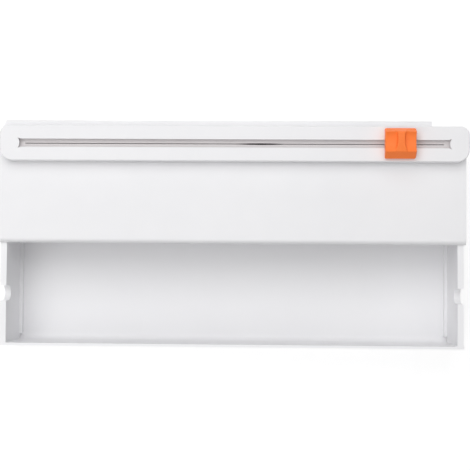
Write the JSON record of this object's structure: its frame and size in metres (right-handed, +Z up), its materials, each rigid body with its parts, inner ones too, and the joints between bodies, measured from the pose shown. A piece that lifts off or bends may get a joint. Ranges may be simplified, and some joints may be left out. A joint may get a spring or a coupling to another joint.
{
  "type": "gift wrap paper cutter",
  "caption": "Open roll tray with a deck, and a hinged slotted rail along it in which a sprung blade cap slides to cut gift wrap.",
  "frame": {"origin": "on the surface that the feet stand on, in the middle of the tray", "axes": "+X along the rail to the right, +Y to the rear where the rail is, +Z up"},
  "size_m": [0.3732, 0.1804, 0.0777],
  "materials": {
    "white_shell": "satin moulded",
    "orange_grip": "gloss moulded",
    "black_strip": "matt",
    "white_slider": "slippery matt",
    "grey_rubber": "soft matt",
    "zinc_steel": "zinc plated",
    "spring_steel": "drawn wire",
    "blade_steel": "ground"
  },
  "bodies": {
    "base": {"body_tray": "white_shell", "left_end_plate": "white_shell", "right_end_plate": "white_shell", "rubber_feet": "grey_rubber", "end_plate_screws": "zinc_steel", "deck_screws": "zinc_steel", "deck_cover": "white_shell", "cutting_strip": "black_strip", "hinge_bracket": "zinc_steel", "hinge_screws": "zinc_steel", "locating_peg": "zinc_steel"},
    "rail": {"rail_cover": "white_shell", "rail_base": "white_shell", "rail_screws": "zinc_steel", "hinge_pin": "zinc_steel"},
    "carriage": {"carriage_shoe": "white_slider", "carriage_plate": "orange_grip", "press_springs": "spring_steel"},
    "cutter_head": {"cutter_cap": "orange_grip", "blade_holder": "white_slider", "blade": "blade_steel", "blade_rivet": "zinc_steel"}
  },
  "joints": [
    {"name": "rail_lift", "type": "hinge", "parent": "base", "child": "rail", "pos_m": [-0.1802, 0.0712, 0.0623], "axis": [0, -1, 0], "range_deg": [0, 60]},
    {"name": "cutter_slide", "type": "slide", "parent": "rail", "child": "carriage", "axis": [1, 0, 0], "range_m": [-0.2904, 0.0294]},
    {"name": "cutter_press", "type": "slide", "parent": "carriage", "child": "cutter_head", "axis": [0, 0, -1], "range_m": [0, 0.0015], "stiffness_N_per_m": 1000, "springref_m": -0.001, "deforming": ["press_springs"]}
  ]
}
